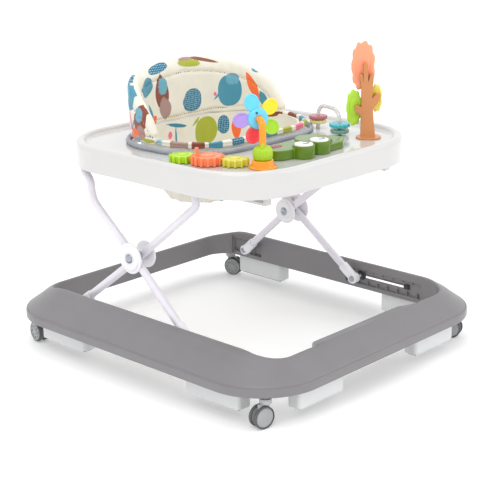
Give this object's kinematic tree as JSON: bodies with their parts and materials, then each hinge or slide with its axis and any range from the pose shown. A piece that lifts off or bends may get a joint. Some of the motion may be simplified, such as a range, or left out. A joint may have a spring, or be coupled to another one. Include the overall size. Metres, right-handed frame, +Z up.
{
  "type": "baby walker",
  "caption": "Low grey walker base on swivel casters with a folding scissor stand, a white toy tray and a padded sling seat.",
  "frame": {"origin": "on the floor under the middle of the base", "axes": "+Z up; the child faces -Y; +X is the side of the tree toy"},
  "size_m": [0.682, 0.746, 0.61],
  "materials": {
    "grey_plastic": "fine satin moulding",
    "light_grey_plastic": "satin moulding",
    "fork_plastic": "satin moulding",
    "wheel_plastic": "semi-gloss moulding",
    "pad_rubber": "matt",
    "black_nylon": "satin",
    "coated_tube": "white powder coat",
    "white_fitting": "satin moulding",
    "rivet_steel": "plated",
    "tray_gloss": "high gloss",
    "piping_cloth": "woven bias tape",
    "printed_cotton": "plain weave, printed, padded",
    "croc_green": "semi-gloss",
    "eye_white": "gloss",
    "trunk_brown": "satin",
    "toy_coral": "semi-gloss",
    "leaf_coral": "satin",
    "toy_lime": "semi-gloss",
    "toy_yellow": "semi-gloss",
    "toy_orange": "semi-gloss",
    "toy_sky": "semi-gloss",
    "arch_clear": "milky",
    "bead_rose": "semi-gloss",
    "bead_cream": "semi-gloss",
    "bead_turquoise": "semi-gloss",
    "bead_sage": "semi-gloss"
  },
  "bodies": {
    "base": {"base_shell": "grey_plastic", "slot_rail_left": "grey_plastic", "slot_rail_right": "grey_plastic", "rear_bracket_left": "grey_plastic", "rear_bracket_right": "grey_plastic", "slot_stop_left": "black_nylon", "slot_stop_right": "black_nylon", "stopper_front_left": "light_grey_plastic", "stopper_front_right": "light_grey_plastic", "stopper_side_front_left": "light_grey_plastic", "stopper_side_front_right": "light_grey_plastic", "stopper_side_rear_left": "light_grey_plastic", "stopper_side_rear_right": "light_grey_plastic", "stopper_pads": "pad_rubber"},
    "fork_front_left": {"caster_fork_front_left": "fork_plastic"},
    "wheels_front_left": {"caster_wheels_front_left": "wheel_plastic"},
    "fork_front_right": {"caster_fork_front_right": "fork_plastic"},
    "wheels_front_right": {"caster_wheels_front_right": "wheel_plastic"},
    "fork_rear_left": {"caster_fork_rear_left": "fork_plastic"},
    "wheels_rear_left": {"caster_wheels_rear_left": "wheel_plastic"},
    "fork_rear_right": {"caster_fork_rear_right": "fork_plastic"},
    "wheels_rear_right": {"caster_wheels_rear_right": "wheel_plastic"},
    "rear_leg": {"rear_leg_tube": "coated_tube", "rear_leg_caps": "white_fitting", "hub_inner_discs": "white_fitting", "hub_rivets": "rivet_steel"},
    "front_leg": {"front_leg_tube": "coated_tube", "front_leg_caps": "white_fitting", "hub_outer_discs": "white_fitting"},
    "slot_shoes": {"slot_shoes": "black_nylon"},
    "tray_slides": {"tray_slides": "black_nylon"},
    "tray": {"tray_shell": "tray_gloss", "tray_pivot_brackets": "white_fitting", "tray_rails": "white_fitting", "seat_piping": "piping_cloth", "seat_back": "printed_cotton", "seat_collar": "printed_cotton", "seat_pouch": "printed_cotton", "croc_body": "croc_green", "tree_trunk": "trunk_brown", "tree_leaf_coral": "leaf_coral", "tree_leaf_lime": "toy_lime", "tree_leaf_yellow": "toy_yellow", "bead_arch": "arch_clear", "flower_base": "toy_orange", "flower_bulb": "toy_lime", "flower_stem": "toy_orange", "gear_pins": "white_fitting"},
    "gear_coral": {"gear_coral": "toy_coral", "crank_knob": "toy_coral"},
    "gear_green": {"gear_green": "toy_lime"},
    "gear_yellow": {"gear_yellow": "toy_yellow"},
    "flower": {"flower_hub": "toy_sky", "flower_petals": "toy_sky"},
    "croc_eye_left": {"croc_eye_left": "eye_white"},
    "croc_eye_right": {"croc_eye_right": "eye_white"},
    "bead_rose": {"bead_rose": "bead_rose"},
    "bead_cream": {"bead_cream": "bead_cream"},
    "bead_turquoise": {"bead_turquoise": "bead_turquoise"},
    "bead_sage": {"bead_sage": "bead_sage"}
  },
  "joints": [
    {"name": "swivel_front_left", "type": "hinge", "parent": "base", "child": "fork_front_left", "pos_m": [-0.29, -0.322, 0.06], "axis": [0, 0, 1], "continuous": true},
    {"name": "roll_front_left", "type": "hinge", "parent": "fork_front_left", "child": "wheels_front_left", "pos_m": [-0.29886, -0.32044, 0.021], "axis": [0.1736, 0.9848, 0], "continuous": true},
    {"name": "swivel_front_right", "type": "hinge", "parent": "base", "child": "fork_front_right", "pos_m": [0.29, -0.322, 0.06], "axis": [0, 0, 1], "continuous": true},
    {"name": "roll_front_right", "type": "hinge", "parent": "fork_front_right", "child": "wheels_front_right", "pos_m": [0.28707, -0.31349, 0.021], "axis": [0.9455, 0.3256, 0], "continuous": true},
    {"name": "swivel_rear_left", "type": "hinge", "parent": "base", "child": "fork_rear_left", "pos_m": [-0.29, 0.322, 0.06], "axis": [0, 0, 1], "continuous": true},
    {"name": "roll_rear_left", "type": "hinge", "parent": "fork_rear_left", "child": "wheels_rear_left", "pos_m": [-0.29141, 0.31311, 0.021], "axis": [-0.9877, 0.1564, 0], "continuous": true},
    {"name": "swivel_rear_right", "type": "hinge", "parent": "base", "child": "fork_rear_right", "pos_m": [0.29, 0.322, 0.06], "axis": [0, 0, 1], "continuous": true},
    {"name": "roll_rear_right", "type": "hinge", "parent": "fork_rear_right", "child": "wheels_rear_right", "pos_m": [0.29278, 0.31344, 0.021], "axis": [-0.9511, -0.309, 0], "continuous": true},
    {"name": "fold", "type": "hinge", "parent": "base", "child": "rear_leg", "pos_m": [0, 0.23, 0.088], "axis": [1, 0, 0], "range_deg": [0, 32]},
    {"name": "hub_hinge", "type": "hinge", "parent": "rear_leg", "child": "front_leg", "pos_m": [0, 0.071, 0.217], "axis": [1, 0, 0], "range_deg": [-64, 0]},
    {"name": "tray_hinge", "type": "hinge", "parent": "front_leg", "child": "tray", "pos_m": [0, 0.221, 0.378], "axis": [1, 0, 0], "range_deg": [0, 32]},
    {"name": "slot_shoe_hinge", "type": "hinge", "parent": "front_leg", "child": "slot_shoes", "pos_m": [0, -0.088, 0.088], "axis": [1, 0, 0], "range_deg": [0, 32]},
    {"name": "tray_slide_hinge", "type": "hinge", "parent": "rear_leg", "child": "tray_slides", "pos_m": [0, -0.079, 0.378], "axis": [1, 0, 0], "range_deg": [-32, 0]},
    {"name": "gear_coral_spin", "type": "hinge", "parent": "tray", "child": "gear_coral", "pos_m": [-0.197, -0.098, 0.426], "axis": [0, 0, 1], "continuous": true},
    {"name": "gear_green_spin", "type": "hinge", "parent": "tray", "child": "gear_green", "pos_m": [-0.21206, -0.04781, 0.426], "axis": [0, 0, 1], "continuous": true},
    {"name": "gear_yellow_spin", "type": "hinge", "parent": "tray", "child": "gear_yellow", "pos_m": [-0.17184, -0.14396, 0.426], "axis": [0, 0, 1], "continuous": true},
    {"name": "flower_spin", "type": "hinge", "parent": "tray", "child": "flower", "pos_m": [-0.14455, -0.17872, 0.507], "axis": [0.4384, 0.8988, 0], "continuous": true},
    {"name": "press_eye_left", "type": "slide", "parent": "tray", "child": "croc_eye_left", "axis": [0, 0, 1], "range_m": [-0.002, 0], "stiffness_N_per_m": 300, "springref_m": 0.001},
    {"name": "press_eye_right", "type": "slide", "parent": "tray", "child": "croc_eye_right", "axis": [0, 0, 1], "range_m": [-0.002, 0], "stiffness_N_per_m": 300, "springref_m": 0.001},
    {"name": "bead_rose_spin", "type": "hinge", "parent": "tray", "child": "bead_rose", "pos_m": [0.174, -0.048, 0.445], "axis": [0, 0, 1], "continuous": true},
    {"name": "bead_cream_spin", "type": "hinge", "parent": "tray", "child": "bead_cream", "pos_m": [0.174, -0.048, 0.436], "axis": [0, 0, 1], "continuous": true},
    {"name": "bead_turquoise_spin", "type": "hinge", "parent": "tray", "child": "bead_turquoise", "pos_m": [0.153, -0.122, 0.441], "axis": [0, 0, 1], "continuous": true},
    {"name": "bead_sage_spin", "type": "hinge", "parent": "tray", "child": "bead_sage", "pos_m": [0.153, -0.122, 0.429], "axis": [0, 0, 1], "continuous": true}
  ],
  "couplings": [
    {"joint": "hub_hinge", "follows": "fold", "ratio": -2},
    {"joint": "tray_hinge", "follows": "fold", "ratio": 1},
    {"joint": "slot_shoe_hinge", "follows": "fold", "ratio": 1},
    {"joint": "tray_slide_hinge", "follows": "fold", "ratio": -1},
    {"joint": "gear_green_spin", "follows": "gear_coral_spin", "ratio": -1.25},
    {"joint": "gear_yellow_spin", "follows": "gear_coral_spin", "ratio": -1.25}
  ]
}
